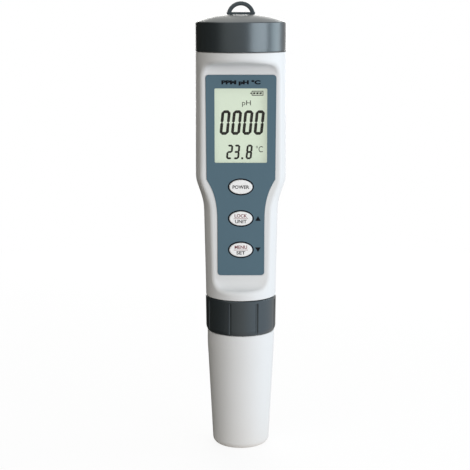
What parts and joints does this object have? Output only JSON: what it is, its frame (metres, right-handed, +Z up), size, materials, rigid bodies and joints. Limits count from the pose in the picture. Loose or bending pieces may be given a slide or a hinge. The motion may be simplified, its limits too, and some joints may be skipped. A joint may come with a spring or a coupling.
{
  "type": "ph test pen",
  "caption": "Pocket water tester with a display, push keys, a screwed battery cap with a hanging loop, a plug-in pH electrode and a push-on protective cap.",
  "frame": {"origin": "centre of the protective cap's flat base, which the pen stands on", "axes": "+Z up along the pen's axis to the hanging loop, -Y is the front with the display and keys, +X to the right of a person who reads the display"},
  "size_m": [0.0378, 0.0378, 0.1893],
  "materials": {
    "white_casing": "satin moulded ABS, white",
    "grey_plastic": "satin moulded ABS, blue grey",
    "panel_film": "fine matt printed film, blue grey",
    "window_clear": "clear gloss acrylic",
    "display_glass": "pale green segment display",
    "reflector_sheet": "diffuse pale sheet",
    "key_rubber": "soft matt white key",
    "board_green": "green solder resist",
    "chip_black": "black moulded epoxy",
    "capacitor_tan": "ceramic chip, tan",
    "black_plastic": "black moulded nylon",
    "natural_plastic": "natural moulded ABS",
    "steel_bright": "nickel-plated steel",
    "gold_contact": "gold-plated brass",
    "seal_rubber": "black nitrile",
    "zebra_rubber": "layered conductive rubber",
    "probe_black": "black moulded ABS",
    "clear_glass": "clear pH glass",
    "junction_ceramic": "porous white ceramic",
    "silver_wire": "chlorided silver",
    "graphite_pin": "graphite",
    "probe_steel": "polished stainless",
    "sponge_foam": "open-cell foam"
  },
  "bodies": {
    "casing": {"casing": "white_casing", "face_panel": "panel_film", "display_window": "window_clear", "lcd_panel": "display_glass", "lcd_reflector": "reflector_sheet", "lcd_holder": "natural_plastic", "zebra_strips": "zebra_rubber", "main_board": "board_green", "board_screws": "steel_bright", "controller_chip": "chip_black", "board_capacitors": "capacitor_tan", "board_resistors": "chip_black", "crystal": "steel_bright", "switch_bodies": "black_plastic", "battery_holder": "black_plastic", "button_cells": "steel_bright", "spring_contacts": "gold_contact", "battery_springs": "steel_bright", "electrode_socket": "black_plastic", "socket_contacts": "gold_contact", "neck_o_ring": "seal_rubber"},
    "contact_carrier": {"contact_carrier": "natural_plastic", "bridge_contact": "steel_bright"},
    "battery_cap": {"battery_cap": "grey_plastic"},
    "power_button": {"power_button": "key_rubber", "power_plunger": "black_plastic"},
    "hold_button": {"hold_button": "key_rubber", "hold_plunger": "black_plastic"},
    "mode_button": {"mode_button": "key_rubber", "mode_plunger": "black_plastic"},
    "electrode": {"electrode_housing": "probe_black", "electrode_o_ring": "seal_rubber", "cap_seal_ring": "seal_rubber", "conductivity_pins": "graphite_pin", "temperature_probe": "probe_steel", "reference_junction": "junction_ceramic", "glass_bulb": "clear_glass", "glass_stem": "clear_glass", "reference_wire": "silver_wire", "plug_pins": "gold_contact", "probe_guard": "probe_black"},
    "collar": {"collar": "grey_plastic"},
    "protective_cap": {"protective_cap": "white_casing", "storage_sponge": "sponge_foam"}
  },
  "joints": [
    {"name": "cap_lift", "type": "slide", "parent": "casing", "child": "contact_carrier", "axis": [0, 0, 1], "range_m": [0, 0.00525]},
    {"name": "cap_turn", "type": "hinge", "parent": "contact_carrier", "child": "battery_cap", "pos_m": [0, 0, 0.175], "axis": [0, 0, 1], "range_deg": [0, 631]},
    {"name": "probe_draw", "type": "slide", "parent": "protective_cap", "child": "electrode", "axis": [0, 0, 1], "range_m": [0, 0.045]},
    {"name": "collar_turn", "type": "hinge", "parent": "electrode", "child": "collar", "pos_m": [0, 0, 0.058], "axis": [0, 0, -1], "range_deg": [0, 631]},
    {"name": "casing_lift", "type": "slide", "parent": "electrode", "child": "casing", "axis": [0, 0, 1], "range_m": [0, 0.00525]},
    {"name": "power_press", "type": "slide", "parent": "casing", "child": "power_button", "axis": [0, 1, 0], "range_m": [0, 0.0004], "stiffness_N_per_m": 1000},
    {"name": "hold_press", "type": "slide", "parent": "casing", "child": "hold_button", "axis": [0, 1, 0], "range_m": [0, 0.0004], "stiffness_N_per_m": 1000},
    {"name": "mode_press", "type": "slide", "parent": "casing", "child": "mode_button", "axis": [0, 1, 0], "range_m": [0, 0.0004], "stiffness_N_per_m": 1000}
  ],
  "couplings": [
    {"joint": "cap_turn", "follows": "cap_lift", "rad_per_m": 2094.4},
    {"joint": "collar_turn", "follows": "casing_lift", "rad_per_m": 2094.4}
  ]
}
